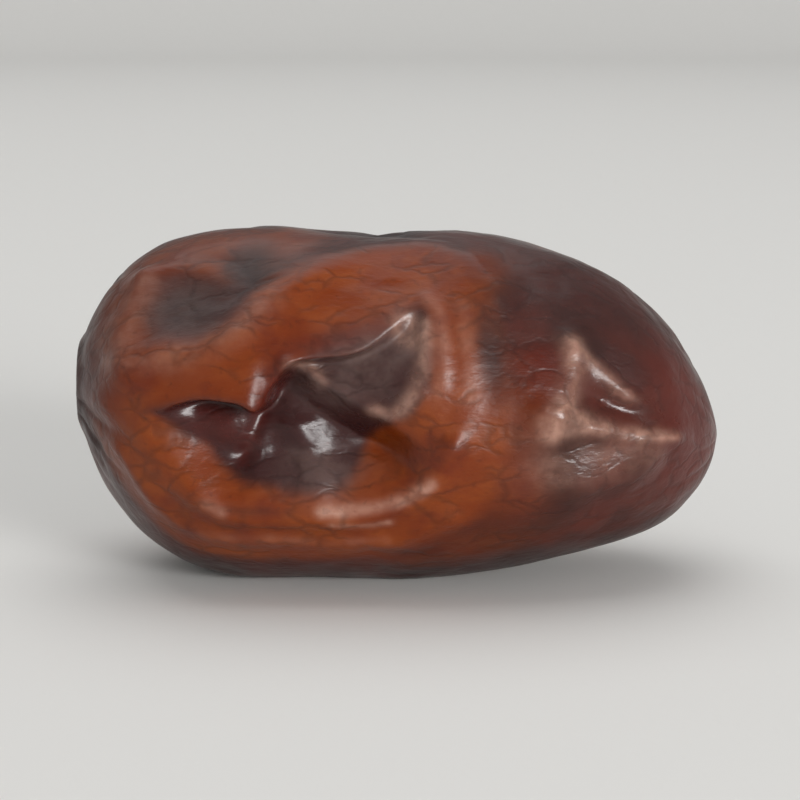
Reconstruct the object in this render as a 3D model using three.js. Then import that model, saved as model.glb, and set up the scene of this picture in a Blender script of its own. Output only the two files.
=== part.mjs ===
// One semi-dried date, the fruit of the date palm, lying on its side.
// Millimetres, +Z up, +X towards the tapered tip, -Y is the front with the sunken pit.
// The origin is under the middle of the fruit, at the height of what it lies on.
import * as THREE from 'three';
import { mergeVertices } from 'three/addons/utils/BufferGeometryUtils.js';

// Driving dimensions
const length = 44.4;
const radius = 12.25;          // half the height at the widest place
const thicknessShare = 0.965;  // front to back, as a share of the height
const flatCut = 0.35;          // how much of the round underside the flat spot takes away
const stemEndRise = 1.2;       // the blunt end stands this much above the middle
const tipFall = 2.4;           // the tapered tip hangs this much below the middle
const sideBend = 0.7;          // both ends lean back this much
const rowsAlong = 46;
const columnsAround = 58;

// Half outline, from the stem end to the tip: distance from the stem end, radius.
const shoulder = 13;
const waist = 22;
const outline = new THREE.CurvePath();
outline.add(new THREE.CubicBezierCurve(
  new THREE.Vector2(0, 0),
  new THREE.Vector2(0.3, 6.6),
  new THREE.Vector2(4.2, radius),
  new THREE.Vector2(shoulder, radius),
));
outline.add(new THREE.LineCurve(
  new THREE.Vector2(shoulder, radius),
  new THREE.Vector2(waist, radius),
));
outline.add(new THREE.CubicBezierCurve(
  new THREE.Vector2(waist, radius),
  new THREE.Vector2(34, 12.2),
  new THREE.Vector2(43.3, 8.5),
  new THREE.Vector2(length, 0),
));

// Places on the skin are [x, s]: x along the fruit from its middle, and s round it,
// up from the middle of the front. The top is at a quarter turn, 19.2 mm.
const turnLength = 2 * Math.PI * radius;

// The pit where the flesh has collapsed under the front: three lobes that run together.
const pitLobes = [
  { at: [-12.3, 0.4], reach: [3.8, 2.2], turn: -8, depth: 2.3 },
  { at: [-6.6, -0.8], reach: [4.9, 3.7], turn: 4, depth: 2.9 },
  { at: [-2.6, 4.6], reach: [4.9, 3.0], turn: 36, depth: 2.3 },
];
const pitFloor = 0.5;          // inside this share of a lobe the pit is at its full depth
const pitRim = 1.3;            // outside this share the skin is untouched

// Soft hollows, and swellings with a negative depth.
const hollows = [
  { at: [-13.9, 10.6], reach: [3.9, 3.9], turn: -20, depth: 0.75 },   // sunk patch above the band
  { at: [5.9, 5.0], reach: [1.4, 3.6], turn: 6, depth: 0.5 },         // beside the pinched fold
  { at: [9.0, 3.6], reach: [2.0, 3.0], turn: 0, depth: -0.2 },        // swelling after it
  { at: [13.7, 2.6], reach: [1.8, 0.95], turn: -16, depth: 0.5 },     // dimple near the tip
  { at: [11.6, -2.6], reach: [3.0, 1.9], turn: -12, depth: 0.3 },     // below the dimple
  { at: [-3.0, 19.5], reach: [4.0, 2.6], turn: 0, depth: 0.8 },       // on the crown
  { at: [10.5, 20.0], reach: [5.0, 2.6], turn: 10, depth: 0.45 },
  { at: [5.0, -34.5], reach: [6.5, 4.0], turn: -8, depth: 1.1 },      // broad hollow in the back
  { at: [-11.0, 33.0], reach: [5.0, 3.6], turn: 25, depth: 0.8 },
  { at: [-7.0, -24.5], reach: [6.0, 2.4], turn: 6, depth: 0.5 },
];

// Rolled lips and folds along a path; a negative height is a crease.
const folds = [
  {                                                                    // upper lip of the pit
    path: [[-18.6, 2.2], [-15.6, 4.6], [-12, 5.6], [-9.3, 7.6], [-6.6, 10.6], [-2, 13.4], [3, 13.6]],
    width: 1.5, height: 0.55,
  },
  {                                                                    // lower lip of the pit
    path: [[-13.4, -4.4], [-11.6, -5.6], [-8, -6], [-4.6, -5.8], [-1.6, -5.6], [0.6, -4.6], [2.4, -2.8]],
    width: 1.2, height: 0.35,
  },
  {                                                                    // fold below the lower lip
    path: [[-17.9, -3.4], [-15.6, -6.6], [-12, -7.9], [-6, -8.1], [-1, -8], [3, -6]],
    width: 1.0, height: 0.3,
  },
  {                                                                    // pinched fold beside the pit
    path: [[3.2, 11.5], [3.9, 8.6], [4.2, 5.4], [4.3, 2.2], [3.9, -0.6]],
    width: 1.0, height: 0.42,
  },
  { path: [[-15, 27], [-5, 29.5], [5, 28.5], [15, 31]], width: 1.2, height: -0.7 },   // back
  { path: [[-15, 30.5], [-5, 32.3], [5, 31.5], [14, 34]], width: 1.1, height: 0.35 },
  { path: [[-16, -29], [-6, -30], [4, -27.5], [16, -28.5]], width: 1.1, height: -0.6 },
  { path: [[-2, 23], [6, 24.5], [16, 23.5]], width: 1.0, height: -0.4 },
];

// Where the cap came off at the stem end, and what is left of the style on the tip.
const scar = { radius: 3.1, depth: 0.55, rimHeight: 0.2, rimWidth: 0.8 };
const stylePoint = { radius: 0.9, height: 0.35 };

const skinColour = 0x5a2f22;

function roundTheBody(gap) {
  return gap - turnLength * Math.round(gap / turnLength);
}

// Distance from the middle of a hollow, as a share of its reach.
function shareOfReach(place, hollow) {
  const turn = THREE.MathUtils.degToRad(hollow.turn);
  const dx = place.x - hollow.at[0];
  const ds = roundTheBody(place.y - hollow.at[1]);
  const along = (dx * Math.cos(turn) + ds * Math.sin(turn)) / hollow.reach[0];
  const across = (ds * Math.cos(turn) - dx * Math.sin(turn)) / hollow.reach[1];
  return Math.hypot(along, across);
}

function pitDepthAt(place) {
  let sum = 0;
  for (const lobe of pitLobes) {
    const sunk = 1 - THREE.MathUtils.smoothstep(shareOfReach(place, lobe), pitFloor, pitRim);
    sum += (lobe.depth * sunk) ** 4;
  }
  return sum ** 0.25;
}

function distanceToPath(place, points) {
  let nearest = Infinity;
  for (let i = 1; i < points.length; i++) {
    const start = points[i - 1];
    const step = points[i].clone().sub(start);
    const offset = new THREE.Vector2(place.x - start.x, roundTheBody(place.y - start.y));
    const share = THREE.MathUtils.clamp(offset.dot(step) / step.lengthSq(), 0, 1);
    nearest = Math.min(nearest, offset.addScaledVector(step, -share).length());
  }
  return nearest;
}

const foldCurves = folds.map((fold) => {
  const corners = fold.path.map(([x, s]) => new THREE.Vector2(x, s));
  return new THREE.SplineCurve(corners).getPoints(24);
});

// How far the skin stands out from the plain round body at a place.
function reliefAt(place) {
  let relief = -pitDepthAt(place);
  for (const hollow of hollows) {
    relief -= hollow.depth * Math.exp(-(shareOfReach(place, hollow) ** 2));
  }
  folds.forEach((fold, i) => {
    relief += fold.height * Math.exp(-((distanceToPath(place, foldCurves[i]) / fold.width) ** 2));
  });
  return relief;
}

// How far the two ends are pushed in or drawn out, along X.
function endReliefAt(x, fromAxis) {
  if (x > 0) {
    return stylePoint.height * Math.exp(-((fromAxis / stylePoint.radius) ** 2));
  }
  const dish = 1 - THREE.MathUtils.smoothstep(fromAxis, scar.radius * 0.6, scar.radius);
  const rim = Math.exp(-(((fromAxis - scar.radius - scar.rimWidth / 2) / scar.rimWidth) ** 2));
  return scar.depth * dish - scar.rimHeight * rim;
}

function makeDate() {
  const profile = outline.getSpacedPoints(rowsAlong).map((p) => new THREE.Vector2(p.y, p.x));
  profile[0].x = 0;
  profile[rowsAlong].x = 0;
  const geometry = new THREE.LatheGeometry(profile, columnsAround);
  const corners = geometry.getAttribute('position');
  for (let i = 0; i < corners.count; i++) {
    // The lathe turns about Y: that axis becomes X, with the front at -Y and the top at +Z.
    const x = corners.getY(i) - length / 2;
    const fromAxis = Math.hypot(corners.getX(i), corners.getZ(i));
    const angle = fromAxis > 0 ? Math.atan2(corners.getX(i), -corners.getZ(i)) : 0;
    const nearEnd = THREE.MathUtils.smoothstep(fromAxis, 2, 8);
    const out = fromAxis + nearEnd * reliefAt(new THREE.Vector2(x, angle * radius));

    const stemShare = THREE.MathUtils.clamp((-x - 10) / 12, 0, 1);
    const tipShare = THREE.MathUtils.clamp((x - 8.5) / 13.5, 0, 1);
    const rise = stemEndRise * stemShare ** 2 - tipFall * tipShare ** 2;
    const lean = sideBend * (2 * x / length) ** 2;
    corners.setXYZ(
      i,
      x + endReliefAt(x, fromAxis),
      lean - out * thicknessShare * Math.cos(angle),
      Math.max(radius - flatCut + rise + out * Math.sin(angle), 0),
    );
  }
  geometry.deleteAttribute('normal');
  geometry.deleteAttribute('uv');
  const closed = mergeVertices(geometry, 0.001);
  closed.computeVertexNormals();
  return closed;
}

const date = new THREE.Mesh(
  makeDate(),
  new THREE.MeshStandardMaterial({ color: skinColour, roughness: 0.35, metalness: 0 }),
);
date.name = 'date_fruit';

const group = new THREE.Group();
group.add(date);

// The middle of the fruit goes over the origin.
const box = new THREE.Box3().setFromObject(group);
const middle = box.getCenter(new THREE.Vector3());
date.geometry.translate(-middle.x, -middle.y, -box.min.z);

export default group;
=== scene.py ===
import math

import bpy
import numpy as np
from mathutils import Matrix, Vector, noise


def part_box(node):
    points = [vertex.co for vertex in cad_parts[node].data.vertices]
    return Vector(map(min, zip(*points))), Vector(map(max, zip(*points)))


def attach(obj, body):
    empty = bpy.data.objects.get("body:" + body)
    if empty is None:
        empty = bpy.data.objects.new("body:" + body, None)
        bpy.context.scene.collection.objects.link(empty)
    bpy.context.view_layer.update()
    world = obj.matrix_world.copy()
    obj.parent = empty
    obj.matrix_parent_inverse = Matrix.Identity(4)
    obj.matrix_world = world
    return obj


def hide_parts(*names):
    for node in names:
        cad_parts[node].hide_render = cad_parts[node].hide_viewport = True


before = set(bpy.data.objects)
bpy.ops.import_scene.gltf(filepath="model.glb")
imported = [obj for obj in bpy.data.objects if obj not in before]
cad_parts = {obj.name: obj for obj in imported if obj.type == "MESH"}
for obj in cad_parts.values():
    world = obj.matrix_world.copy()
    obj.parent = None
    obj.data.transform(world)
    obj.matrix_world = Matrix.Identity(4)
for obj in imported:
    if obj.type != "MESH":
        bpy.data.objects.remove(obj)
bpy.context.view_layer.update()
mm = 0.001
print("frame loaded")


def hexColour(code):
    # sRGB hex to the linear colour that Blender's sockets hold
    parts = [int(code[i:i + 2], 16) / 255 for i in (1, 3, 5)]
    linear = [c / 12.92 if c <= 0.04045 else ((c + 0.055) / 1.055) ** 2.4 for c in parts]
    return (*linear, 1.0)


def addNode(tree, kind, links=None, **settings):
    # one node with its settings; links gives each input a value, a socket, or a node for its first output
    node = tree.nodes.new(kind)
    for name, value in settings.items():
        setattr(node, name, value)
    for socket, value in (links or {}).items():
        if isinstance(value, bpy.types.Node):
            value = value.outputs[0]
        if isinstance(value, bpy.types.NodeSocket):
            tree.links.new(value, node.inputs[socket])
        else:
            node.inputs[socket].default_value = value
    return node


def smooth(value, low, high):
    t = np.clip((value - low) / (high - low), 0, 1)
    return t * t * (3 - 2 * t)


def curveThrough(points, steps=10, closed=False):
    # smooth line through a few given points, as a Catmull-Rom curve
    p = np.array(points, float)
    ends = (p[-1:], p[:2]) if closed else (2 * p[:1] - p[1:2], 2 * p[-1:] - p[-2:-1])
    p = np.concatenate([ends[0], p, ends[1]])
    line = []
    for a, b, c, d in zip(p, p[1:], p[2:], p[3:]):
        for t in np.linspace(0, 1, steps, endpoint=False):
            line.append(b + 0.5 * t * (c - a + t * (2 * a - 5 * b + 4 * c - d + t * (3 * (b - c) + d - a))))
    return np.array(line if closed else [*line, p[-2]])


# Sizes in mm. Places on the skin are (x, s): x along the fruit from its middle towards the tip, and
# s round it, up from the middle of the front. The crown is at a quarter turn, s = 19.2.
dateBody = {
    "length": 44.4,
    "radius": 12.25,
    "thicknessShare": 0.965,   # front to back, as a share of the height
    "flatCut": 0.35,           # how much of the round underside the flat spot takes away
    "stemEndRise": 1.2,
    "riseStart": 10,           # the rise starts this far to the left of the middle
    "riseRun": 12,
    "tipFall": 2.4,
    "fallStart": 8.5,          # the fall starts this far to the right of it
    "fallRun": 13.5,
    "sideBend": 0.7,           # both ends lean back this much
    "stemEndCurve": [(0, 0), (0.3, 6.6), (4.2, 12.25), (13, 12.25)],    # from the stem end, from the axis
    "tipCurve": [(22, 12.25), (34, 12.2), (43.3, 8.5), (44.4, 0)],
    "endZone": (1.5, 6),       # folds and hollows fade out between these distances from the axis
    "rows": 270,
    "columns": 340,
    "frontCrowding": 0.3,      # the columns are this much denser in front than on the crown
    "softening": 4,            # rounds of evening out the folds
}

# Noise that makes the skin uneven: its strength, the size of its features in mm, and its seed.
unevenness = {
    "pitAlong": (0.28, 2.8, 1),     # the lines of the pit wander a little, as fallen skin does
    "pitRound": (0.28, 2.8, 2),
    "foldsAlong": (0.5, 5, 3),      # so do the folds, hollows and patches
    "foldsRound": (0.5, 5, 4),
    "waves": (0.22, 7, 5),
    "foldHeight": (0.45, 3.2, 6),   # as a share of each fold's height
    "ripples": (0.05, 2.2, 7),
    "lining": (0.1, 1.3, 8),
}

# The pit in the front, where the flesh has shrunk away and the skin has fallen in.
sunkenPit = {
    "upperLip": [(-16.6, 1.0), (-14.6, 2.4), (-12.5, 3.0), (-10.4, 2.8), (-9.1, 2.2), (-8.4, 3.8),
                 (-7.0, 5.5), (-5.2, 6.0), (-3.4, 6.2), (-1.8, 6.7), (-0.4, 7.7), (0.6, 8.6), (1.4, 8.8),
                 (1.9, 7.6), (2.1, 5.4), (1.9, 3.0)],
    "lowerLip": [(1.9, 3.0), (2.8, 0.6), (2.8, -1.5), (1.8, -3.3), (0.0, -4.6), (-2.6, -5.3),
                 (-6.0, -5.5), (-9.6, -5.4), (-12.2, -5.0), (-14.4, -3.8), (-16.1, -2.1), (-17.1, -0.4),
                 (-16.6, 1.0)],
    "darkEdge": [(1.7, 3.0), (0.7, 1.6), (-0.7, 0.8), (-1.6, -0.4), (-2.1, -1.9), (-2.9, -3.2),
                 (-4.6, -4.1), (-7.6, -4.2), (-10.2, -3.7), (-11.9, -2.5), (-12.9, -1.2), (-14.5, -0.5),
                 (-16.2, 1.3)],    # where the dark lining ends on the lower slope
    "liningFade": 0.5,
    "lipWidth": 0.9,
    "slopeWidth": (3.7, 3.9),      # of the lower slope, at its left and at its right end
    "slopeChange": (-5, 1),        # it goes from one to the other between these places
    "crest": [(-7.0, 4.8), (-0.4, 0.8)],        # the edge of the flat facet in the pit's upper right
    "facetDepth": 0.85,            # at the right end of that edge
    "facetRise": 0.16,             # the facet rises this much to the right, for each mm
    "wallSlope": 0.85,             # how fast the bowl falls away below the facet
    "bowlDepth": 3.0,
    "bowlMiddle": (-5.5, -1),
    "bowlTilt": (0.06, 0.1),       # it is deeper by this much for each mm to the right, and up
    "pocketDepth": 2.3,
    "pocketEdge": (7.8, 9.8),      # mm to the left of the middle, where the bowl turns into the pocket
    "overhang": 0.75,
    "overhangWidth": 1.5,
    "overhangEnds": (-16.4, 0.6),
    "overhangFades": (2.4, 3),
    "underLip": -0.2,              # share of the overhang at the foot of the lip, so it is set back
    "softening": {"slope": 14, "depth": 2, "lining": 1, "lip": 3, "inside": 4},
}

# Soft hollows; a negative depth is a swelling.
softHollows = [
    {"at": (-13.9, 9.6), "reach": (4.1, 3.4), "turn": -12, "depth": 0.7, "edge": 1.2},  # at the shoulder
    {"at": (-9.9, 13.2), "reach": (2.0, 3.0), "turn": -20, "depth": 0.35, "edge": 1.0},  # above it
    {"at": (9.0, 2.2), "reach": (2.4, 3.6), "turn": 0, "depth": -0.38, "edge": 1.0},  # before the tip
    {"at": (13.7, 2.6), "reach": (1.8, 0.95), "turn": -16, "depth": 0.5, "edge": 1.1},  # near the tip
    {"at": (-0.6, -1.0), "reach": (1.6, 2.4), "turn": -30, "depth": 0.3, "edge": 1.0},  # pit, lower right
    {"at": (-12.4, 0.6), "reach": (2.2, 1.3), "turn": -10, "depth": -0.45, "edge": 1.0},  # in the pocket
    {"at": (-3.0, 19.5), "reach": (4.2, 2.4), "turn": 0, "depth": 0.5, "edge": 1.3},  # crown
    {"at": (10.5, 20.0), "reach": (5.0, 2.6), "turn": 10, "depth": 0.5, "edge": 1.0},  # crown, tip end
    {"at": (5.0, -34.5), "reach": (6.5, 4.0), "turn": -8, "depth": 1.15, "edge": 1.3},  # back
    {"at": (-11.0, 33.0), "reach": (5.0, 3.6), "turn": 25, "depth": 0.8, "edge": 1.2},  # back, stem end
    {"at": (-7.0, -24.5), "reach": (6.0, 2.4), "turn": 6, "depth": 0.5, "edge": 1.0},  # underneath
]

# Rolled lips, pinched folds and creases along a path; a negative height is a crease.
skinFolds = [
    {"path": [(-19.4, 1.0), (-16.6, 4.7), (-13, 5.5), (-10.3, 6.8), (-8.3, 9.2), (-6.3, 11.2),
              (-3.6, 12.9), (0, 14.3), (3.4, 13.8), (6.4, 10.5)],
     "width": 1.5, "height": 0.45, "power": 1.9},  # upper lip of the pit
    {"path": [(-13.4, -4.4), (-11.6, -5.6), (-8.0, -6.0), (-4.6, -5.8), (-1.6, -5.6), (0.6, -4.6),
              (2.4, -2.8), (3.3, -0.6)],
     "width": 0.85, "height": 0.4, "power": 1.9},  # lower lip
    {"path": [(-17.9, -3.4), (-15.6, -6.6), (-12.0, -7.9), (-6.0, -8.1), (-1.0, -8.0), (3.0, -6.0)],
     "width": 0.9, "height": 0.3, "power": 1.8},  # fold below the lower lip
    {"path": [(1.5, 10.0), (2.35, 8.2), (2.55, 5.6), (2.4, 3.2)],
     "width": 0.5, "height": 0.22, "power": 1.9},  # ridge at the pit's right end
    {"path": [(3.2, 11.5), (3.9, 8.6), (4.2, 5.4), (4.3, 2.2), (3.9, -0.6)],
     "width": 1.2, "height": 0.13, "power": 2},  # second ridge beside it
    {"path": [(-8.3, 4.2), (-8.6, 2.2), (-9.4, 0.2), (-10.6, -2.2)],
     "width": 0.6, "height": -0.55, "power": 1.8},  # crease between the pocket and the bowl
    {"path": [(-7.2, 4.9), (-4.4, 3.2), (-1.6, 1.5), (-0.3, 0.9)],
     "width": 0.5, "height": 0.3, "power": 1.7},  # edge of the flat facet
    {"path": [(-7.0, 5.2), (-5.9, 4.6), (-5.2, 3.6)],
     "width": 0.45, "height": 0.25, "power": 1.7},  # the facet's left corner
    {"path": [(1.2, 7.8), (1.3, 5.2), (0.9, 2.6), (-0.2, 1.0)],
     "width": 0.55, "height": 0.25, "power": 1.7},  # the facet's right edge
    {"path": [(-5.4, -3.4), (-5.9, -1.8), (-6.6, 0.2)],
     "width": 1.1, "height": 0.5, "power": 2},  # swelling in the bowl
    {"path": [(9.2, 1.6), (12.5, 0.5), (15.0, 0.3), (18.0, 0.2)],
     "width": 0.8, "height": 0.34, "power": 1.8},  # star near the tip, along the fruit
    {"path": [(11.4, 7.4), (11.5, 5.0), (10.7, 2.6), (10.4, 0.6)],
     "width": 0.9, "height": 0.34, "power": 1.8},  # its upper arm
    {"path": [(11.8, 6.4), (13.4, 5.1), (15.0, 3.4)],
     "width": 0.7, "height": 0.24, "power": 1.8},  # its third arm
    {"path": [(8.9, -4.8), (11.0, -4.5), (13.5, -3.3), (16.0, -1.6), (18.0, -0.6)],
     "width": 2.2, "height": 0.5, "power": 2},  # swelling below the star
    {"path": [(-17.2, 13.0), (-18.2, 9.5), (-18.2, 5.6), (-17.6, 3.2)],
     "width": 1.1, "height": 0.3, "power": 1.8},  # shoulder at the stem end
    {"path": [(-17.2, 13.6), (-13.6, 12.9), (-11.2, 11.8)],
     "width": 0.7, "height": 0.2, "power": 1.8},  # above the sunk patch
    {"path": [(-15, 27), (-5, 29.5), (5, 28.5), (15, 31)],
     "width": 1.0, "height": -0.75, "power": 1.3},  # crease in the back
    {"path": [(-15, 30.5), (-5, 32.3), (5, 31.5), (14, 34)],
     "width": 1.0, "height": 0.35, "power": 1.6},  # fold beside it
    {"path": [(-16, -29), (-6, -30), (4, -27.5), (16, -28.5)],
     "width": 1.0, "height": -0.6, "power": 1.3},  # crease under the back
    {"path": [(-2, 23), (6, 24.5), (16, 23.5)],
     "width": 0.9, "height": -0.45, "power": 1.3},  # crease behind the crown
]

# Where the cap came off at the stem end, and what is left of the style on the tip.
fruitEnds = {
    "scarRadius": 2.9,
    "scarDepth": 0.6,
    "dishStart": 0.62,            # the dish's floor is this share of the scar's radius
    "rimHeight": 0.28,
    "rimWidth": 0.6,
    "rimGap": 0.2,                # from the scar's edge to the top of the rim
    "stalkRadius": 0.75,
    "stalkHeight": 0.4,
    "pleats": 13,                 # small folds that run in to the scar
    "pleatDepth": 0.24,
    "pleatWander": 0.3,
    "pleatZone": (3.0, 4.6, 7.0, 10.8),       # from the axis: they start, are full, fade and end
    "tipPleats": 9,
    "tipPleatDepth": 0.07,
    "tipPleatWander": 0.5,
    "tipPleatZone": (0.5, 2.0, 4.5, 8.5),
    "styleRadius": 0.55,
    "styleHeight": 0.06,
}

turnLength = 2 * math.pi * dateBody["radius"]


def roundTheBody(gap):
    return gap - turnLength * np.round(gap / turnLength)


def distanceToLine(x, s, line):
    # shortest way from each skin point to a line of points on the skin
    nearest = np.full(x.shape, 1e9)
    for (startX, startS), (endX, endS) in zip(line, line[1:]):
        dx, ds = x - startX, roundTheBody(s - startS)
        stepX, stepS = endX - startX, endS - startS
        t = np.clip((dx * stepX + ds * stepS) / (stepX ** 2 + stepS ** 2 + 1e-12), 0, 1)
        nearest = np.minimum(nearest, np.hypot(dx - t * stepX, ds - t * stepS))
    return nearest


def insideOutline(x, s, line):
    # even-odd test against a closed line
    inside = np.zeros(x.shape, bool)
    s = roundTheBody(s)
    for (startX, startS), (endX, endS) in zip(line, np.roll(line, -1, axis=0)):
        crosses = (startS > s) != (endS > s)
        where = startX + (s - startS) * (endX - startX) / (endS - startS + 1e-12)
        inside ^= crosses & (x < where)
    return inside


def shareOfReach(x, s, hollow):
    # distance from the middle of a hollow or patch, as a share of its reach
    turn = math.radians(hollow["turn"])
    dx, ds = x - hollow["at"][0], roundTheBody(s - hollow["at"][1])
    along = (dx * math.cos(turn) + ds * math.sin(turn)) / hollow["reach"][0]
    across = (ds * math.cos(turn) - dx * math.sin(turn)) / hollow["reach"][1]
    return np.hypot(along, across)


def noiseOver(points, size, seed):
    # Blender's own noise at each point, -1 to 1, with features about `size` mm across
    shift = Vector((seed * 7.31, seed * 3.17, seed * 5.53))
    return np.array([noise.noise(Vector(p) / size + shift) for p in points])


def soften(values, times):
    # evens out steps in the skin grid: each point takes 0.15 of each of its four neighbours
    grid = values.reshape(-1, dateBody["columns"])
    for _ in range(times):
        nextRow = np.concatenate([grid[1:], grid[-1:]])
        lastRow = np.concatenate([grid[:1], grid[:-1]])
        around = nextRow + lastRow + np.roll(grid, 1, axis=1) + np.roll(grid, -1, axis=1)
        grid = 0.4 * grid + 0.15 * around
    return grid.ravel()


def halfOutline():
    # the outline from stem end to tip, in even steps along it
    def bezier(corners):
        t = np.linspace(0, 1, 200)[:, None]
        a, b, c, d = (np.array(p, float) for p in corners)
        return (1 - t) ** 3 * a + 3 * (1 - t) ** 2 * t * b + 3 * (1 - t) * t ** 2 * c + t ** 3 * d

    line = np.concatenate([bezier(dateBody["stemEndCurve"]), bezier(dateBody["tipCurve"])])
    walked = np.concatenate([[0], np.cumsum(np.hypot(*np.diff(line, axis=0).T))])
    steps = np.linspace(0, walked[-1], dateBody["rows"] + 1)
    along = np.interp(steps, walked, line[:, 0])
    radius = np.interp(steps, walked, line[:, 1])
    radius[0] = radius[-1] = 0
    return along, radius


def pitRelief(x, s):
    # how deep the pit is, the share of its dark lining and of its overhanging lip, and what is inside it
    rounds = sunkenPit["softening"]
    upper = curveThrough(sunkenPit["upperLip"])
    lower = curveThrough(sunkenPit["lowerLip"])
    dark = curveThrough(sunkenPit["darkEdge"])
    inside = insideOutline(x, s, np.concatenate([upper, lower[1:-1]]))
    fromUpper = distanceToLine(x, s, upper)
    fromLower = distanceToLine(x, s, lower)

    (startX, startS), (endX, endS) = sunkenPit["crest"]
    crestX, crestS = endX - startX, endS - startS
    belowCrest = ((x - startX) * crestS - (s - startS) * crestX) / math.hypot(crestX, crestS)
    facet = sunkenPit["facetDepth"] - sunkenPit["facetRise"] * (x - endX)
    (middleX, middleS), (tiltX, tiltS) = sunkenPit["bowlMiddle"], sunkenPit["bowlTilt"]
    bowlFloor = sunkenPit["bowlDepth"] + tiltX * (x - middleX) + tiltS * (s - middleS)
    bowl = np.minimum(facet + sunkenPit["wallSlope"] * np.maximum(belowCrest, 0), bowlFloor)
    pocketShare = smooth(-x, *sunkenPit["pocketEdge"])
    floor = bowl * (1 - pocketShare) + sunkenPit["pocketDepth"] * pocketShare

    leftWidth, rightWidth = sunkenPit["slopeWidth"]
    slopeWidth = leftWidth + (rightWidth - leftWidth) * smooth(x, *sunkenPit["slopeChange"])
    lipShare = smooth(fromUpper, 0, sunkenPit["lipWidth"])
    slope = soften(np.where(inside, smooth(fromLower / slopeWidth, 0, 1), 0), rounds["slope"])
    depth = np.where(inside | (fromLower < fromUpper), floor * lipShare * slope, 0)

    inLining = insideOutline(x, s, np.concatenate([upper, dark]))
    pastEdge = np.where(inLining, 1, -1) * np.minimum(fromUpper, distanceToLine(x, s, dark))
    lining = smooth(pastEdge, -sunkenPit["liningFade"], sunkenPit["liningFade"])

    (lipStart, lipEnd), (fadeIn, fadeOut) = sunkenPit["overhangEnds"], sunkenPit["overhangFades"]
    lip = np.exp(-(fromUpper / sunkenPit["overhangWidth"]) ** 2)
    lip *= np.where(inside, 1 - (1 - sunkenPit["underLip"]) * lipShare, 1)
    lip *= smooth(lipEnd - x, 0, fadeOut) * smooth(x, lipStart, lipStart + fadeIn)
    inside = soften(inside.astype(float), rounds["inside"])
    depth, lip = soften(depth, rounds["depth"]), soften(lip, rounds["lip"])
    return depth, soften(lining, rounds["lining"]), lip, inside


def makeSkinGrid():
    along, radius = halfOutline()
    columns = dateBody["columns"]
    # the columns start under the fruit and stand closer together in front
    turn = np.linspace(-math.pi / 2, 3 * math.pi / 2, 4000)
    crowded = turn + dateBody["frontCrowding"] * np.sin(turn)
    angles = np.interp(np.linspace(crowded[0], crowded[-1], columns, endpoint=False), crowded, turn)
    gridX, gridAngle = np.meshgrid(along - dateBody["length"] / 2, angles, indexing="ij")
    slopeX = np.gradient(along)
    slopeR = np.gradient(radius)
    steep = np.hypot(slopeX, slopeR)
    outX, outR = -slopeR / steep, slopeX / steep
    outX[0], outR[0], outX[-1], outR[-1] = -1, 0, 1, 0
    fromAxis, outX, outR = (np.repeat(values, columns) for values in (radius, outX, outR))
    return gridX.ravel(), gridAngle.ravel(), fromAxis, outX, outR


def placeOnBody(x, angle, fromAxis):
    stemShare = np.clip((-x - dateBody["riseStart"]) / dateBody["riseRun"], 0, 1)
    tipShare = np.clip((x - dateBody["fallStart"]) / dateBody["fallRun"], 0, 1)
    rise = dateBody["stemEndRise"] * stemShare ** 2 - dateBody["tipFall"] * tipShare ** 2
    lean = dateBody["sideBend"] * (2 * x / dateBody["length"]) ** 2
    y = lean - fromAxis * dateBody["thicknessShare"] * np.cos(angle)
    z = dateBody["radius"] - dateBody["flatCut"] + rise + fromAxis * np.sin(angle)
    return np.stack([x, y, z], axis=1)


def endRelief(x, angle, fromAxis):
    # the scar and its pleats at the stem end, the style point and its pleats at the tip; the pleats are
    # unevenly spaced, and the scar isn't quite round
    wander = 0.35 * np.sin(2 * angle + 0.7) + 0.25 * np.sin(5 * angle + 2)

    def pleated(count, depth, wanderShare, zone):
        start, full, fade, end = zone
        ridge = np.abs(np.sin(count / 2 * (angle + wander * wanderShare)))
        return depth * (1 - ridge) ** 2 * smooth(fromAxis, start, full) * (1 - smooth(fromAxis, fade, end))

    scarEdge = fruitEnds["scarRadius"] * (1 + 0.05 * np.sin(3 * angle + 1) + 0.03 * np.sin(7 * angle))
    dish = 1 - smooth(fromAxis, fruitEnds["dishStart"] * scarEdge, scarEdge)
    rim = np.exp(-((fromAxis - scarEdge - fruitEnds["rimGap"]) / fruitEnds["rimWidth"]) ** 2)
    stalk = np.exp(-(fromAxis / fruitEnds["stalkRadius"]) ** 4)
    stemEnd = fruitEnds["rimHeight"] * rim + fruitEnds["stalkHeight"] * stalk
    stemEnd -= fruitEnds["scarDepth"] * dish
    stemPleats = pleated(fruitEnds["pleats"], fruitEnds["pleatDepth"], fruitEnds["pleatWander"],
                         fruitEnds["pleatZone"])
    stemEnd -= stemPleats * (0.6 + 0.4 * np.sin(3 * angle + 2))     # deeper on some sides than on others
    tip = fruitEnds["styleHeight"] * np.exp(-(fromAxis / fruitEnds["styleRadius"]) ** 2)
    tip -= pleated(fruitEnds["tipPleats"], fruitEnds["tipPleatDepth"], fruitEnds["tipPleatWander"],
                   fruitEnds["tipPleatZone"])
    return np.where(x < 0, stemEnd, tip)


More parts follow.
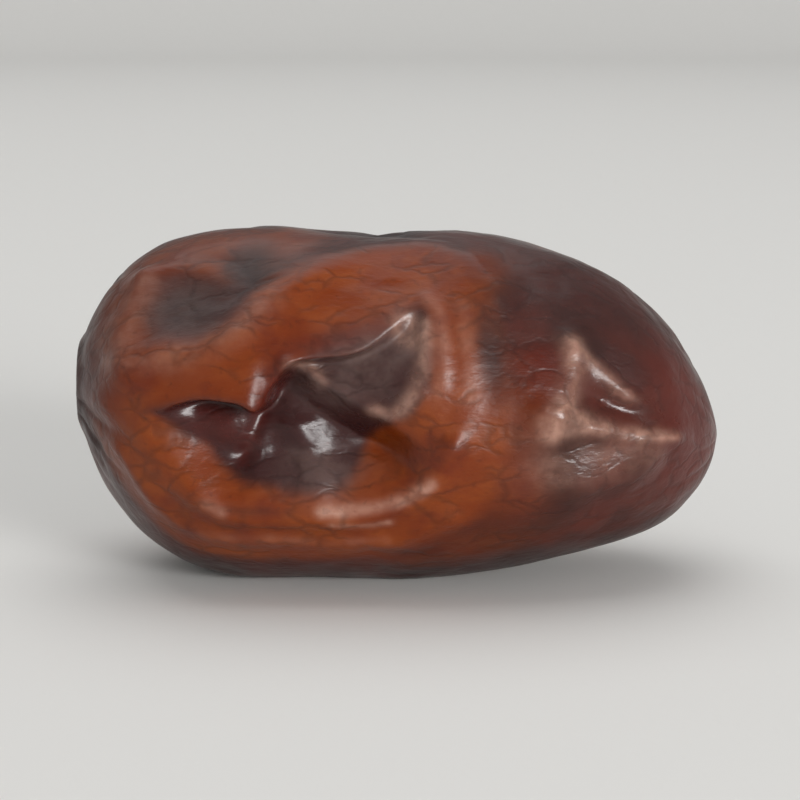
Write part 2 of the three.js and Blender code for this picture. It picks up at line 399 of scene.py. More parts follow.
def makeDateMesh():
    x, angle, fromAxis, outX, outR = makeSkinGrid()
    plain = placeOnBody(x, angle, fromAxis)
    s = angle * dateBody["radius"]
    rough = {}
    for name, (strength, size, seed) in unevenness.items():
        rough[name] = strength * noiseOver(plain, size, seed)
    pitDepth, lining, lip, inPit = pitRelief(x + rough["pitAlong"], s + rough["pitRound"])
    wanderX, wanderS = x + rough["foldsAlong"], s + rough["foldsRound"]
    awayFromEnds = smooth(fromAxis, *dateBody["endZone"])
    relief = rough["lining"] * lining
    for hollow in softHollows:
        share = shareOfReach(wanderX, wanderS, hollow)
        relief -= hollow["depth"] * np.exp(-share ** (2 * hollow["edge"])) * awayFromEnds
    for fold in skinFolds:
        away = distanceToLine(wanderX, wanderS, curveThrough(fold["path"], 6)) / fold["width"]
        height = fold["height"] * (1 + rough["foldHeight"])
        relief += height * np.exp(-away ** fold["power"]) * awayFromEnds
    relief += endRelief(x, angle, fromAxis)
    relief += (rough["waves"] + rough["ripples"]) * awayFromEnds
    relief = soften(relief, dateBody["softening"]) - pitDepth

    shift = sunkenPit["overhang"] * lip / dateBody["radius"]
    placed = placeOnBody(x + outX * relief, angle - shift, fromAxis + outR * relief)
    placed[:, 2] = np.maximum(placed[:, 2], 0)
    return placed, skinShares(wanderX, wanderS, lining, inPit, fromAxis)


# Where the skin differs: amber where it has lifted off the flesh, so that light comes through; grape where
# it has sunk on to dark flesh; a grey film, partly painted sheen; thin red skin, with painted shade along
# the upper lip and one crease; painted highlights on crests; taut and glossier.
skinPatches = [
    {"kind": "amber", "at": (-18.4, 8.5), "reach": (2.6, 6.5), "turn": 0, "amount": 1.0},
    {"kind": "amber", "at": (-13.0, 15.5), "reach": (6.5, 3.2), "turn": 4, "amount": 0.8},
    {"kind": "amber", "at": (-6.9, 17.5), "reach": (1.9, 4.5), "turn": -10, "amount": 0.8},
    {"kind": "amber", "at": (8.6, 2.4), "reach": (1.8, 3.0), "turn": 0, "amount": 0.6},
    {"kind": "amber", "at": (6.2, -3.2), "reach": (3.0, 3.6), "turn": 20, "amount": 0.7},
    {"kind": "amber", "at": (5.5, 12.0), "reach": (2.0, 3.0), "turn": -30, "amount": 0.8},
    {"kind": "grape", "at": (-13.9, 9.3), "reach": (3.6, 2.8), "turn": -8, "amount": 0.95},
    {"kind": "grape", "at": (-9.9, 12.9), "reach": (1.7, 2.7), "turn": -20, "amount": 0.9},
    {"kind": "grape", "at": (-2.2, 19.8), "reach": (5.0, 2.8), "turn": 0, "amount": 0.95},
    {"kind": "grape", "at": (5.9, 5.6), "reach": (1.2, 3.6), "turn": 6, "amount": 0.85},
    {"kind": "grape", "at": (12.0, 12.5), "reach": (7.5, 5.6), "turn": -12, "amount": 0.6},
    {"kind": "grape", "at": (14.5, 6.0), "reach": (2.2, 1.8), "turn": -20, "amount": 0.6},
    {"kind": "grape", "at": (-22.2, 3.0), "reach": (2.6, 12.0), "turn": 0, "amount": 0.6},
    {"kind": "grape", "at": (0.0, -13.8), "reach": (16.0, 2.8), "turn": 2, "amount": 0.45},
    {"kind": "amber", "at": (3.5, -9.6), "reach": (6.5, 2.4), "turn": 8, "amount": 0.45},
    {"kind": "grape", "at": (4.0, -35.0), "reach": (6.5, 4.5), "turn": -8, "amount": 0.7},
    {"kind": "grape", "at": (-11.0, 33.0), "reach": (4.5, 3.4), "turn": 25, "amount": 0.6},
    {"kind": "amber", "at": (-3.0, 29.5), "reach": (12.0, 2.4), "turn": 3, "amount": 0.5},
    {"kind": "amber", "at": (-16.5, -30.0), "reach": (4.0, 6.0), "turn": 0, "amount": 0.5},
    {"kind": "amber", "at": (12.0, -30.0), "reach": (6.0, 3.0), "turn": -10, "amount": 0.45},
    # grey film; on the facet and in the bowl it also stands in for painted sheen
    {"kind": "filmAndSheen", "at": (-1.9, 5.2), "reach": (4.6, 2.7), "turn": 33, "amount": 0.95},
    {"kind": "filmAndSheen", "at": (-5.0, -3.0), "reach": (3.0, 1.6), "turn": 0, "amount": 0.8},
    {"kind": "filmAndSheen", "at": (-14.4, 9.8), "reach": (3.6, 3.0), "turn": -12, "amount": 0.45},
    {"kind": "filmAndSheen", "at": (-9.9, 13.2), "reach": (1.8, 2.4), "turn": -20, "amount": 0.3},
    {"kind": "filmAndSheen", "at": (-2.2, 19.8), "reach": (4.6, 2.4), "turn": 0, "amount": 0.2},
    {"kind": "red", "at": (20.0, 2.0), "reach": (3.4, 10.0), "turn": 0, "amount": 0.9},
    {"kind": "red", "at": (9.4, 4.4), "reach": (2.0, 2.2), "turn": 0, "amount": 0.75},
    {"kind": "red", "at": (-12.2, 0.4), "reach": (2.6, 1.5), "turn": -8, "amount": 0.6},
    {"kind": "red", "at": (0.6, -0.8), "reach": (1.8, 1.6), "turn": -8, "amount": 0.2},
    {"kind": "red", "at": (-20.0, 4.0), "reach": (2.2, 8.0), "turn": 0, "amount": 0.6},
    # painted highlights: lighter spots at the facet's upper corner and in the middle of the star near the
    # tip
    {"kind": "paintedHighlight", "at": (0.4, 7.4), "reach": (1.0, 1.5), "turn": 30, "amount": 0.55},
    {"kind": "paintedHighlight", "at": (10.7, 0.7), "reach": (1.8, 1.0), "turn": 10, "amount": 0.6},
    {"kind": "taut", "at": (12.6, 0.6), "reach": (5.2, 5.0), "turn": 0, "amount": 1.0},
]
# the lighter streaks are painted highlights along the crests, the lips and the star's arms
skinStreaks = [
    {"kind": "paintedHighlight", "path": [(-7.0, 5.0), (-5.6, 4.5), (-4.8, 3.6)], "width": 0.45, "amount": 0.4},
    {"kind": "paintedHighlight", "path": [(1.4, 7.6), (1.3, 5.2), (0.8, 2.8), (-0.4, 1.3), (-1.6, 1.6)],
     "width": 0.5, "amount": 0.55},
    {"kind": "paintedHighlight", "path": [(1.6, 9.6), (2.4, 8.2), (2.6, 5.6), (2.3, 3.0)],
     "width": 0.45, "amount": 0.28},
    {"kind": "paintedHighlight", "path": [(4.0, 8.6), (4.2, 5.4), (4.4, 2.6)], "width": 0.6, "amount": 0.25},
    {"kind": "paintedHighlight", "path": [(-12.5, -4.9), (-11.8, -5.3)], "width": 0.4, "amount": 0.4},
    {"kind": "paintedHighlight", "path": [(-4.8, -5.1), (-2.4, -5.0), (0.0, -4.4), (2.0, -3.1)],
     "width": 0.38, "amount": 0.85},
    {"kind": "paintedHighlight", "path": [(-4.2, -6.0), (-1.8, -6.3), (-0.6, -6.1)], "width": 0.3, "amount": 0.5},
    {"kind": "paintedHighlight", "path": [(-13.0, -7.6), (-6.0, -7.9), (-1.0, -7.8)], "width": 0.45, "amount": 0.15},
    {"kind": "paintedHighlight", "path": [(-16.8, 4.7), (-13, 5.6), (-10.3, 6.9), (-8.3, 9.2)],
     "width": 0.9, "amount": 0.25},
    {"kind": "paintedHighlight", "path": [(9.4, 1.2), (12.5, 0.6), (15.0, 0.4), (17.8, 0.4)],
     "width": 0.6, "amount": 0.62},
    {"kind": "paintedHighlight", "path": [(11.4, 6.8), (11.5, 4.6), (10.6, 2.2), (10.0, 0.6)],
     "width": 0.75, "amount": 0.6},
    {"kind": "paintedHighlight", "path": [(12.0, 6.0), (13.4, 4.9), (14.9, 3.4)], "width": 0.55, "amount": 0.45},
    {"kind": "paintedHighlight", "path": [(9.6, -2.4), (12.0, -2.6), (15.4, -1.4)], "width": 1.7, "amount": 0.24},
    {"kind": "paintedHighlight", "path": [(-17.6, 12.4), (-18.7, 8.5), (-18.5, 5.0)], "width": 1.2, "amount": 0.3},
    {"kind": "amber", "path": [(-17.2, 13.6), (-13.6, 12.9), (-11.2, 11.8)], "width": 0.7, "amount": 0.9},
    # painted shade and glow of the lip's thin edge: darker red along the rim of the upper lip
    {"kind": "red", "path": [(-8.8, 3.2), (-7.0, 5.9), (-3.4, 6.9), (-0.4, 8.4)],
     "width": 0.8, "amount": 0.75},
    # painted shade: darker red down the crease between the pocket and the bowl
    {"kind": "red", "path": [(-8.3, 4.2), (-8.6, 2.2), (-9.4, 0.2), (-10.6, -2.2)],
     "width": 0.6, "amount": 0.5},
]
amberBand = [(-18.2, -1), (-16, 3.4), (-12.5, 4.6), (-9.4, 5.8), (-6.6, 8.6), (-2.6, 10.4), (1.5, 11.4),
             (3.4, 8.0), (4.2, 3.0), (4.2, -1.0), (2.2, -4.6), (-3, -7.0), (-10, -8.0), (-15.2, -6.2)]
bandWidth = (2.0, 3.8)      # mm from the band's line, where the amber starts to fade and where it ends
looseSkin = {
    "calmFront": 0.93,      # the front is this much calmer than the rest
    "frontMiddle": -1,
    "frontReach": (19, 11),     # along the fruit and round it
    "endZone": (3, 7),
}


def skinShares(x, s, lining, inPit, fromAxis):
    band = curveThrough(amberBand, closed=True)
    fromBand = distanceToLine(x, s, np.concatenate([band, band[:1]]))
    shares = {kind: np.zeros(x.shape) for kind in ("amber", "grape", "filmAndSheen", "red", "paintedHighlight", "taut")}
    shares["amber"] = np.maximum(1 - smooth(fromBand, *bandWidth), inPit)

    def add(kind, near):
        shares[kind] = 1 - (1 - shares[kind]) * (1 - near)

    for patch in skinPatches:
        add(patch["kind"], patch["amount"] * np.exp(-shareOfReach(x, s, patch) ** 3))
    for streak in skinStreaks:
        away = distanceToLine(x, s, curveThrough(streak["path"], 6)) / streak["width"]
        add(streak["kind"], streak["amount"] * np.exp(-away ** 2))
    shares["lining"] = lining
    # the creased, loose skin is at the ends, on the back and underneath
    along, around = looseSkin["frontReach"]
    front = np.exp(-(s / around) ** 4) * np.exp(-((x - looseSkin["frontMiddle"]) / along) ** 6)
    shares["loose"] = (1 - looseSkin["calmFront"] * front) * smooth(fromAxis, *looseSkin["endZone"])
    return shares


def fitToFrame(points, low, high):
    # the finished piece fills the CAD node's box
    lowest, highest = points.min(0), points.max(0)
    low, high = np.array(low), np.array(high)
    return low + (points - lowest) / (highest - lowest) * (high - low)


def buildPiece(name, points, shares):
    # closes the grid with a point at each end, and unrolls it into the bake's own UV map
    rows, columns = dateBody["rows"], dateBody["columns"]

    def closeEnds(values):
        first, last = values[:columns].mean(0), values[-columns:].mean(0)
        return np.concatenate([[first], values[columns:-columns], [last]])

    corners = closeEnds(points)

    def index(row, column):
        if row == 0:
            return 0
        if row == rows:
            return len(corners) - 1
        return 1 + (row - 1) * columns + column % columns

    faces, uvs = [], []
    for row in range(rows):
        for column in range(columns):
            if row == 0:
                face = [(0, column + 0.5), (1, column), (1, column + 1)]
            elif row == rows - 1:
                face = [(rows, column + 0.5), (row, column + 1), (row, column)]
            else:
                face = [(row, column), (row + 1, column), (row + 1, column + 1), (row, column + 1)]
            faces.append([index(*corner) for corner in face])
            uvs += [(acrossUV / columns, alongUV / rows) for alongUV, acrossUV in face]

    mesh = bpy.data.meshes.new(name)
    mesh.from_pydata(corners.tolist(), [], faces)
    layer = mesh.uv_layers.new(name="OFBake")
    layer.data.foreach_set("uv", np.array(uvs, np.float32).ravel())
    for shareName, values in shares.items():
        attribute = mesh.attributes.new(shareName, "FLOAT", "POINT")
        attribute.data.foreach_set("value", closeEnds(values).astype(np.float32))
    mesh.polygons.foreach_set("use_smooth", [True] * len(mesh.polygons))
    piece = bpy.data.objects.new(name, mesh)
    bpy.context.scene.collection.objects.link(piece)
    return piece


placed, shares = makeDateMesh()
nodeLow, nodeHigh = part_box("date_fruit")
placed = fitToFrame(placed, nodeLow, nodeHigh)
semiDriedDate = buildPiece("semi_dried_date", placed, shares)
print("fruit shaped:", len(semiDriedDate.data.polygons), "faces")


# Inputs of the Geometry Nodes tree, in mm.
skinWrinkles = {
    "Crease Length": 11.0,        # along the fruit between creases
    "Crease Spacing": 4.2,        # round it
    "Crease Depth": 0.28,
    "Crease Width": 0.16,         # share of the spacing
    "Crease Sharpness": 1.6,
    "Bend": 7.0,                  # the creases wander by up to half of this
    "Bends per mm": 0.16,
    "Bare Patches per mm": 0.11,  # patches without creases
    "Wrinkle Spacing": 1.5,
    "Wrinkle Middle": 0.45,       # where their pattern neither rises nor sinks
    "Wrinkle Depth": 0.06,
    "Flat Spot Height": 0.02,     # below this nothing moves
    "Free Height": 0.8,           # above this the creases are at their full depth
    "Seed": 4.0,
}


def makeWrinkleTree(settings):
    tree = bpy.data.node_groups.new("skin wrinkles", "GeometryNodeTree")
    tree.interface.new_socket("Geometry", in_out="INPUT", socket_type="NodeSocketGeometry")
    for name, value in settings.items():
        socket = tree.interface.new_socket(name, in_out="INPUT", socket_type="NodeSocketFloat")
        socket.default_value = value
    tree.interface.new_socket("Skin", in_out="INPUT", socket_type="NodeSocketMaterial")
    tree.interface.new_socket("Geometry", in_out="OUTPUT", socket_type="NodeSocketGeometry")
    given = addNode(tree, "NodeGroupInput").outputs

    position = addNode(tree, "GeometryNodeInputPosition")
    inMm = addNode(tree, "ShaderNodeVectorMath", {0: position, 3: 1 / mm}, operation="SCALE")
    seedShift = addNode(tree, "ShaderNodeCombineXYZ", {axis: given["Seed"] for axis in range(3)})
    shifted = addNode(tree, "ShaderNodeVectorMath", {0: inMm, 1: seedShift}, operation="ADD")
    wander = addNode(tree, "ShaderNodeTexNoise",
                     {"Vector": shifted, "Scale": given["Bends per mm"], "Detail": 2.0})
    bothWays = addNode(tree, "ShaderNodeVectorMath", {0: wander.outputs["Color"], 1: (0.5, 0.5, 0.5)},
                       operation="SUBTRACT")
    bend = addNode(tree, "ShaderNodeVectorMath", {0: bothWays, 3: given["Bend"]}, operation="SCALE")
    bent = addNode(tree, "ShaderNodeVectorMath", {0: inMm, 1: bend}, operation="ADD")

    # long cells: the creases run along their edges
    longWay = addNode(tree, "ShaderNodeMath", {0: 1.0, 1: given["Crease Length"]}, operation="DIVIDE")
    roundWay = addNode(tree, "ShaderNodeMath", {0: 1.0, 1: given["Crease Spacing"]}, operation="DIVIDE")
    stretch = addNode(tree, "ShaderNodeCombineXYZ", {0: longWay, 1: roundWay, 2: roundWay})
    drawnOut = addNode(tree, "ShaderNodeVectorMath", {0: bent, 1: stretch}, operation="MULTIPLY")
    cells = addNode(tree, "ShaderNodeTexVoronoi", {"Vector": drawnOut, "Scale": 1.0},
                    feature="DISTANCE_TO_EDGE").outputs["Distance"]
    away = addNode(tree, "ShaderNodeMath", {0: cells, 1: given["Crease Width"]}, operation="DIVIDE")
    steep = addNode(tree, "ShaderNodeMath", {0: away, 1: given["Crease Sharpness"]}, operation="POWER")
    minus = addNode(tree, "ShaderNodeMath", {0: steep, 1: -1.0}, operation="MULTIPLY")
    crease = addNode(tree, "ShaderNodeMath", {0: minus}, operation="EXPONENT")

    # they are deep in some places and missing in others
    elsewhere = addNode(tree, "ShaderNodeVectorMath", {0: inMm, 1: (31, 17, 5)}, operation="ADD")
    patches = addNode(tree, "ShaderNodeTexNoise",
                      {"Vector": elsewhere, "Scale": given["Bare Patches per mm"], "Detail": 1.0})
    patchy = addNode(tree, "ShaderNodeMapRange",
                     {"Value": patches.outputs["Fac"], "From Min": 0.42, "From Max": 0.62},
                     interpolation_type="SMOOTHSTEP")
    loose = addNode(tree, "GeometryNodeInputNamedAttribute", {"Name": "loose"}, data_type="FLOAT")
    inPatches = addNode(tree, "ShaderNodeMath", {0: crease, 1: patchy}, operation="MULTIPLY")
    creaseShare = addNode(tree, "ShaderNodeMath", {0: inPatches, 1: loose}, operation="MULTIPLY")

    # fine wrinkles, about twice as long along the fruit as round it
    longer = addNode(tree, "ShaderNodeVectorMath", {0: bent, 1: (0.45, 1, 1)}, operation="MULTIPLY")
    wrinklesPerMm = addNode(tree, "ShaderNodeMath", {0: 1.0, 1: given["Wrinkle Spacing"]},
                            operation="DIVIDE")
    fine = addNode(tree, "ShaderNodeTexVoronoi", {"Vector": longer, "Scale": wrinklesPerMm},
                   feature="SMOOTH_F1").outputs["Distance"]
    level = addNode(tree, "ShaderNodeMath", {0: fine, 1: given["Wrinkle Middle"]}, operation="SUBTRACT")
    up = addNode(tree, "ShaderNodeMath", {0: level, 1: given["Wrinkle Depth"]}, operation="MULTIPLY")
    down = addNode(tree, "ShaderNodeMath", {0: creaseShare, 1: given["Crease Depth"]},
                   operation="MULTIPLY")
    rise = addNode(tree, "ShaderNodeMath", {0: up, 1: down}, operation="SUBTRACT")
    move = addNode(tree, "ShaderNodeMath", {0: rise, 1: mm}, operation="MULTIPLY")
    normal = addNode(tree, "GeometryNodeInputNormal")
    offset = addNode(tree, "ShaderNodeVectorMath", {0: normal, 3: move}, operation="SCALE")

    # the flat spot underneath stays flat
    height = addNode(tree, "ShaderNodeSeparateXYZ", {0: inMm}).outputs[2]
    free = addNode(tree, "ShaderNodeMapRange",
                   {"Value": height, "From Min": given["Flat Spot Height"],
                    "From Max": given["Free Height"]},
                   interpolation_type="SMOOTHSTEP")
    held = addNode(tree, "ShaderNodeVectorMath", {0: offset, 3: free}, operation="SCALE")
    # the crease share is kept for the skin, where it darkens the creases as painted shade
    stored = addNode(tree, "GeometryNodeStoreNamedAttribute",
                     {"Geometry": given["Geometry"], "Name": "crease", "Value": creaseShare},
                     data_type="FLOAT", domain="POINT")
    moved = addNode(tree, "GeometryNodeSetPosition", {"Geometry": stored, "Offset": held})
    real = addNode(tree, "GeometryNodeRealizeInstances", {"Geometry": moved})
    dressed = addNode(tree, "GeometryNodeSetMaterial", {"Geometry": real, "Material": given["Skin"]})
    addNode(tree, "NodeGroupOutput", {"Geometry": dressed})
    return tree


def giveWrinkles(piece, settings, material):
    # runs the tree once and keeps its result as a plain mesh
    tree = makeWrinkleTree(settings)
    modifier = piece.modifiers.new("wrinkles", "NODES")
    modifier.node_group = tree
    sockets = {item.name: item.identifier for item in tree.interface.items_tree if item.in_out == "INPUT"}
    for name, value in settings.items():
        modifier[sockets[name]] = value
    modifier[sockets["Skin"]] = material
    evaluated = piece.evaluated_get(bpy.context.evaluated_depsgraph_get())
    finished = bpy.data.meshes.new_from_object(evaluated)
    piece.modifiers.remove(modifier)
    piece.data = finished


# Semi-dried date skin: a thin waxy film, glossy from the sugar that has come through, over brown flesh.
# Deep red mahogany where it sits on the flesh, amber where it has lifted off and light comes through,
# and grey-purple where it has sunk.
skinColours = {
    "mahogany": "#4a1f17",
    "darkMahogany": "#32150f",
    "amber": "#6c2a05",
    "paleAmber": "#78350a",
    "grape": "#2a1817",
    "lining": "#331716",
    # grey film, partly painted sheen
    "greyFilmAndSheen": "#64514c",
    "thinRed": "#4d1207",
    # painted highlight: the pinkish white laid on crests where highlights fall
    "crest": "#ae8675",
    # painted shade in the creases and along the net's fine lines; also the colour of the dark specks
    "crease": "#200a07",
}
# Cloudy patterns: the size of their features in mm, their detail, and the scale of each axis, where
# less than 1 draws them out.
skinClouds = {
    "flesh": (6.0, 3, (1, 1, 1)),
    "streaks": (2.2, 4, (0.6, 1, 1)),
    "specks": (0.7, 2, (1, 1, 1)),
    "blush": (3.4, 3, (1, 1, 1)),
    "film": (1.8, 3, (1, 1, 1)),
    # these two clouds break up the painted highlight
    "highlightMottle": (1.0, 4, (1, 1, 1)),
    "highlightBreaks": (2.6, 2, (1, 1, 1)),
    "wrinkles": (1.1, 4, (0.4, 1, 1)),     # the finest wrinkles, as bump
}
dateSkin = {
    "roughness": (0.30, 0.44),     # from streak to streak
    "roughnessChange": {"lining": -0.08, "taut": -0.14, "grape": 0.14, "filmAndSheen": 0.08},
    "redShare": 0.8,
    "peelSize": 0.5,               # mm: the leathery grain, drawn coarser than it is so that it shows
    "peelDepth": 0.03,
    "peelStrength": 0.35,
    "wrinkleDepth": 0.12,
    "wrinkleStrength": 0.8,
    "netSize": 1.5,                # mm: the net of hair-fine creases
    "netAxes": (0.45, 1, 1),       # the scale of each axis
    "netWander": 1.2,
    "netWanderSize": 1.6,
    "netWidth": 0.14,              # share of the size
    "netDepth": 0.05,
    "netStrength": 0.4,
    # how much painted shade the net's lines get
    "netDarkness": 0.3,
    "ior": 1.45,
    "specular": 0.3,
    "subsurface": 0.12,
    "subsurfaceRadius": (1.0, 0.3, 0.12),
    "subsurfaceDepth": 1.5,        # mm
    "coat": 0.12,                  # the thin sugary gloss
    "coatRoughness": 0.22,
    "coatIor": 1.45,
}


def makeDateSkin():
    material = bpy.data.materials.new("date skin, waxy, semi-dried")
    material.use_nodes = True
    tree = material.node_tree
    tree.nodes.clear()
    place = addNode(tree, "ShaderNodeTexCoord").outputs["Object"]
    colours = {name: hexColour(code) for name, code in skinColours.items()}
    share = {}
    for name in ("amber", "grape", "lining", "red", "filmAndSheen", "paintedHighlight", "taut", "crease"):
        share[name] = addNode(tree, "ShaderNodeAttribute", attribute_name=name).outputs["Fac"]
    clouds = {}
    for name, (size, detail, axes) in skinClouds.items():
        scaled = addNode(tree, "ShaderNodeMapping", {"Vector": place, "Scale": axes})
        clouds[name] = addNode(tree, "ShaderNodeTexNoise",
                               {"Vector": scaled, "Scale": 1 / (size * mm), "Detail": detail,
                                "Roughness": 0.55}).outputs["Fac"]

    # the net's lines wander, so that its cells don't look like polygons
    wander = addNode(tree, "ShaderNodeTexNoise",
                     {"Vector": place, "Scale": 1 / (dateSkin["netWanderSize"] * mm), "Detail": 2.0})
    pushed = addNode(tree, "ShaderNodeVectorMath",
                     {0: wander.outputs["Color"], 1: [dateSkin["netWander"] * mm] * 3, 2: place},
                     operation="MULTIPLY_ADD")
    longNet = addNode(tree, "ShaderNodeMapping", {"Vector": pushed, "Scale": dateSkin["netAxes"]})
    net = addNode(tree, "ShaderNodeTexVoronoi",
                  {"Vector": longNet, "Scale": 1 / (dateSkin["netSize"] * mm)},
                  feature="DISTANCE_TO_EDGE").outputs["Distance"]

    # what each share is read from, from where to where, and how much it is at both ends
    ranges = {
        "dark": (clouds["flesh"], 0.38, 0.66, 0.0, 1.0),
        "paleAmber": (clouds["streaks"], 0.35, 0.7, 0.0, 1.0),
        "blush": (clouds["blush"], 0.48, 0.7, 0.0, 0.5),
        "film": (clouds["film"], 0.3, 0.7, 0.25, 0.7),
        # these two break the painted highlight into patches
        "highlightSpots": (clouds["highlightMottle"], 0.36, 0.64, 0.6, 1.0),
        "highlightPatches": (clouds["highlightBreaks"], 0.4, 0.58, 0.55, 1.0),
        # painted shade: darker in the creases
        "creaseShade": (share["crease"], 0.2, 1.0, 0.0, 0.7),
        "speckled": (clouds["specks"], 0.62, 0.74, 0.0, 0.2),
        "dryness": (clouds["streaks"], 0.3, 0.7, *dateSkin["roughness"]),
        "netLines": (net, 0.0, dateSkin["netWidth"], 1.0, 0.0),
        "netPlaces": (clouds["streaks"], 0.4, 0.56, 0.0, 1.0),
    }
    ramp = {}
    for name, (value, start, end, atStart, atEnd) in ranges.items():
        ramp[name] = addNode(tree, "ShaderNodeMapRange",
                             {"Value": value, "From Min": start, "From Max": end,
                              "To Min": atStart, "To Max": atEnd}, interpolation_type="SMOOTHSTEP")

    # products of two shares
    products = {
        "red": (share["red"], dateSkin["redShare"]),
        "film": (share["filmAndSheen"], ramp["film"]),
        "highlightMottle": (ramp["highlightSpots"], ramp["highlightPatches"]),
        "net": (ramp["netLines"], ramp["netPlaces"]),
    }
    both = {}
    for name, (one, other) in products.items():
        both[name] = addNode(tree, "ShaderNodeMath", {0: one, 1: other}, operation="MULTIPLY")
    # painted highlight on the crests, broken into patches
    crest = addNode(tree, "ShaderNodeMath", {0: share["paintedHighlight"], 1: both["highlightMottle"]}, operation="MULTIPLY")
    # painted shade along the net's hair-fine creases
    netShade = addNode(tree, "ShaderNodeMath", {0: both["net"], 1: dateSkin["netDarkness"]},
                      operation="MULTIPLY")

    def layered(colour, layers):
        # each colour covers the ones before it by its share
        for cover, over in layers:
            colour = addNode(tree, "ShaderNodeMix", {0: cover, 6: colour, 7: over},
                             data_type="RGBA").outputs[2]
        return colour

    amberTone = layered(colours["amber"], [
        (ramp["paleAmber"], colours["paleAmber"]),
        (ramp["blush"], colours["thinRed"]),
    ])
    colour = layered(colours["mahogany"], [
        (ramp["dark"], colours["darkMahogany"]),
        (share["amber"], amberTone),
        (share["grape"], colours["grape"]),
        (share["lining"], colours["lining"]),
        (both["red"], colours["thinRed"]),
        (both["film"], colours["greyFilmAndSheen"]),
        (crest, colours["crest"]),
        (ramp["creaseShade"], colours["crease"]),
        (ramp["speckled"], colours["crease"]),
        (netShade, colours["crease"]),
    ])

    rough = ramp["dryness"]
    for name, change in dateSkin["roughnessChange"].items():
        rough = addNode(tree, "ShaderNodeMath", {0: share[name], 1: change, 2: rough},
                        operation="MULTIPLY_ADD")

    peel = addNode(tree, "ShaderNodeTexVoronoi",
                   {"Vector": place, "Scale": 1 / (dateSkin["peelSize"] * mm)},
                   feature="SMOOTH_F1").outputs["Distance"]
    grain = addNode(tree, "ShaderNodeBump", {"Height": peel, "Strength": dateSkin["peelStrength"],
                                             "Distance": dateSkin["peelDepth"] * mm})
    wrinkled = addNode(tree, "ShaderNodeBump",
                       {"Height": clouds["wrinkles"], "Strength": dateSkin["wrinkleStrength"],
                        "Distance": dateSkin["wrinkleDepth"] * mm, "Normal": grain})
    netted = addNode(tree, "ShaderNodeBump",
                     {"Height": both["net"], "Strength": dateSkin["netStrength"],
                      "Distance": dateSkin["netDepth"] * mm, "Normal": wrinkled}, invert=True)
    skin = addNode(tree, "ShaderNodeBsdfPrincipled",
                   {"Base Color": colour, "Roughness": rough, "Normal": netted, "IOR": dateSkin["ior"],
                    "Specular IOR Level": dateSkin["specular"],
                    "Subsurface Weight": dateSkin["subsurface"],
                    "Subsurface Radius": dateSkin["subsurfaceRadius"],
                    "Subsurface Scale": dateSkin["subsurfaceDepth"] * mm,
                    "Coat Weight": dateSkin["coat"], "Coat Roughness": dateSkin["coatRoughness"],
                    "Coat IOR": dateSkin["coatIor"]})
    addNode(tree, "ShaderNodeOutputMaterial", {"Surface": skin})
    return material


giveWrinkles(semiDriedDate, skinWrinkles, makeDateSkin())
print("skin wrinkled and dressed")

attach(semiDriedDate, "root")
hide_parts("date_fruit")


# Metres and watts. Places of the softboxes are from the origin.
studio = {
    "flatRadius": 0.3,     # the first ring of the floor
    "floorRadius": 0.9,
    "sweepRadius": 0.35,
    "sweepSteps": 16,      # of 5 degrees each, up from the edge of the floor
    "sides": 96,
    "floorColour": "#e4e3e0",
    "floorRoughness": 0.9,
    "softboxes": {
        "right softbox": {"place": (0.56, -0.78, 0.19), "size": (0.32, 0.36), "power": 9.2},
        "overhead softbox": {"place": (-0.1, 0.25, 1.05), "size": (1.2, 1.2), "power": 6.0},
    },
    "roomColour": "#f6f6f6",
    "roomLight": 0.36,
    "elevation": 11.0,     # degrees
    "lens": 100.0,         # mm
    "fill": 0.80,          # share of the picture's width that the fruit takes
}


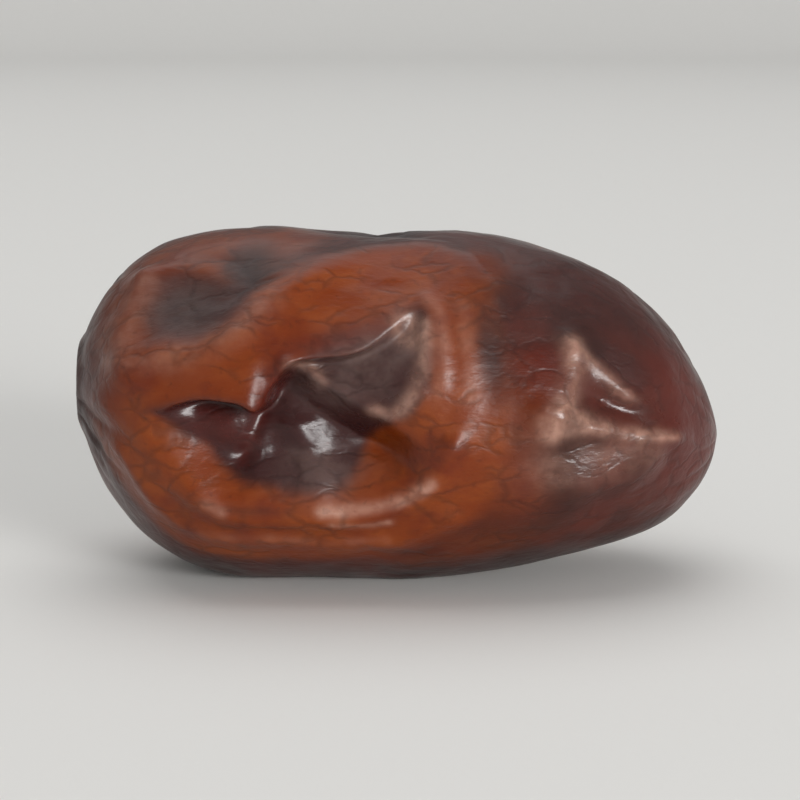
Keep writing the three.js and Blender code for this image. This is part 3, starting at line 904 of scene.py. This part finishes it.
def makeSweep():
    # a pale round floor whose edge curves up, so that no horizon shows from any side
    profile = [(studio["flatRadius"], 0), (studio["floorRadius"], 0)]
    for step in range(1, studio["sweepSteps"] + 1):
        turn = math.radians(step * 5)
        profile.append((studio["floorRadius"] + studio["sweepRadius"] * math.sin(turn),
                        studio["sweepRadius"] * (1 - math.cos(turn))))
    sides = studio["sides"]
    points = [(0, 0, 0)]
    for radius, height in profile:
        for i in range(sides):
            turn = 2 * math.pi * i / sides
            points.append((radius * math.cos(turn), radius * math.sin(turn), height))
    faces = [(0, 1 + i, 1 + (i + 1) % sides) for i in range(sides)]
    for ring in range(len(profile) - 1):
        start = 1 + ring * sides
        for i in range(sides):
            after = (i + 1) % sides
            faces.append((start + i, start + sides + i, start + sides + after, start + after))
    mesh = bpy.data.meshes.new("floor")
    mesh.from_pydata(points, [], faces)
    mesh.polygons.foreach_set("use_smooth", [True] * len(faces))
    floor = bpy.data.objects.new("floor", mesh)
    bpy.context.scene.collection.objects.link(floor)
    material = bpy.data.materials.new("matt paper floor")
    material.use_nodes = True
    shader = material.node_tree.nodes["Principled BSDF"]
    shader.inputs["Base Color"].default_value = hexColour(studio["floorColour"])
    shader.inputs["Roughness"].default_value = studio["floorRoughness"]
    mesh.materials.append(material)


def addSoftbox(name, box, target):
    lamp = bpy.data.lights.new(name, "AREA")
    lamp.shape = "RECTANGLE"
    lamp.size, lamp.size_y = box["size"]
    lamp.energy = box["power"]
    holder = bpy.data.objects.new(name, lamp)
    holder.location = box["place"]
    holder.rotation_euler = (Vector(target) - Vector(box["place"])).to_track_quat("-Z", "Y").to_euler()
    bpy.context.scene.collection.objects.link(holder)


makeSweep()
middle = (nodeLow + nodeHigh) / 2
for name, box in studio["softboxes"].items():
    addSoftbox(name, box, middle)

world = bpy.data.worlds.new("white studio")
bpy.context.scene.world = world
world.use_nodes = True
background = world.node_tree.nodes["Background"]
background.inputs["Color"].default_value = hexColour(studio["roomColour"])
background.inputs["Strength"].default_value = studio["roomLight"]
bpy.context.scene.view_settings.view_transform = "Standard"

cameraData = bpy.data.cameras.new("camera")
cameraData.lens = studio["lens"]
cameraData.clip_start = 0.01
camera = bpy.data.objects.new("camera", cameraData)
bpy.context.scene.collection.objects.link(camera)
bpy.context.scene.camera = camera
pictureWidth = (nodeHigh.x - nodeLow.x) / studio["fill"]
distance = pictureWidth * studio["lens"] / cameraData.sensor_width
elevation = math.radians(studio["elevation"])
camera.location = middle + Vector((0, -math.cos(elevation), math.sin(elevation))) * distance
camera.rotation_euler = (math.pi / 2 - elevation, 0, 0)
print("studio set")
